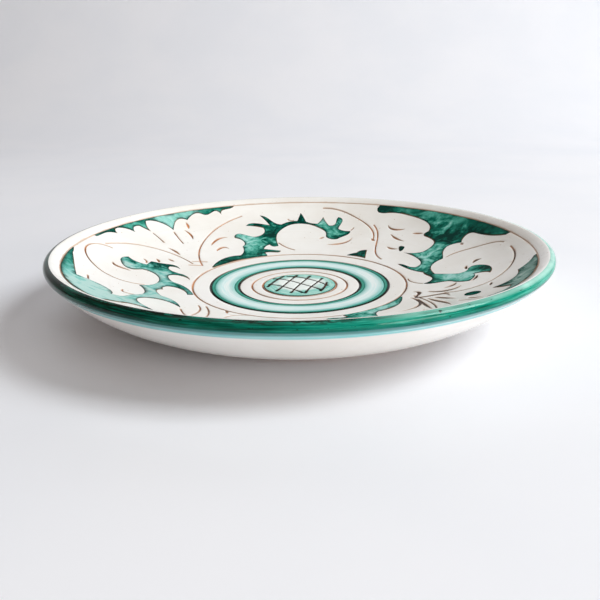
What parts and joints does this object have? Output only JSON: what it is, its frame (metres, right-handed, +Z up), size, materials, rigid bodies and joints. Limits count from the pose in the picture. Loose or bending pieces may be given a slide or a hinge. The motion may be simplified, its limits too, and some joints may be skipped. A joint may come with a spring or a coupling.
{
  "type": "hand painted ceramic plate",
  "caption": "Round earthenware plate with a thick green lip, a sloping well and a foot ring, painted with scrolling green leaves and incised brown lines round a hatched medallion",
  "frame": {"origin": "centre of the foot ring's flat bottom, on the plate's axis", "axes": "+Z up along the axis of the plate; +Y points to the back of the plate, where the leaf that shows whole in front of the viewer curls; +X to the right; rests on Z = 0"},
  "size_m": [0.27, 0.27, 0.0385],
  "materials": {
    "bare_clay": "matt fired earthenware",
    "white_slip": "glossy clear glaze over white slip",
    "green_glaze": "glossy copper-green glaze",
    "aqua_wash": "glossy pale aqua glaze",
    "pale_aqua_wash": "glossy, very pale aqua glaze",
    "line_green": "glossy mid green glaze",
    "turquoise_wash": "glossy turquoise glaze",
    "leaf_green": "glossy green glaze, dark at its edges",
    "leaf_aqua": "glossy light turquoise-green glaze",
    "spray_grey_green": "glossy thin grey-green glaze"
  },
  "bodies": {
    "root": {"clay_body": "bare_clay", "face_slip": "white_slip", "back_slip": "white_slip", "rim_glaze": "green_glaze", "under_rim_wash": "aqua_wash", "band_wash": "pale_aqua_wash", "band_inner_edge": "line_green", "band_outer_edge": "line_green", "medallion_wash": "turquoise_wash", "back_leaf": "leaf_green", "front_leaf": "leaf_green", "right_leaf": "leaf_green", "left_leaf": "leaf_aqua", "back_spray": "leaf_green", "front_spray": "spray_grey_green", "leaf_bud": "leaf_green", "leaf_touch": "leaf_green", "berry": "leaf_green"}
  },
  "joints": []
}
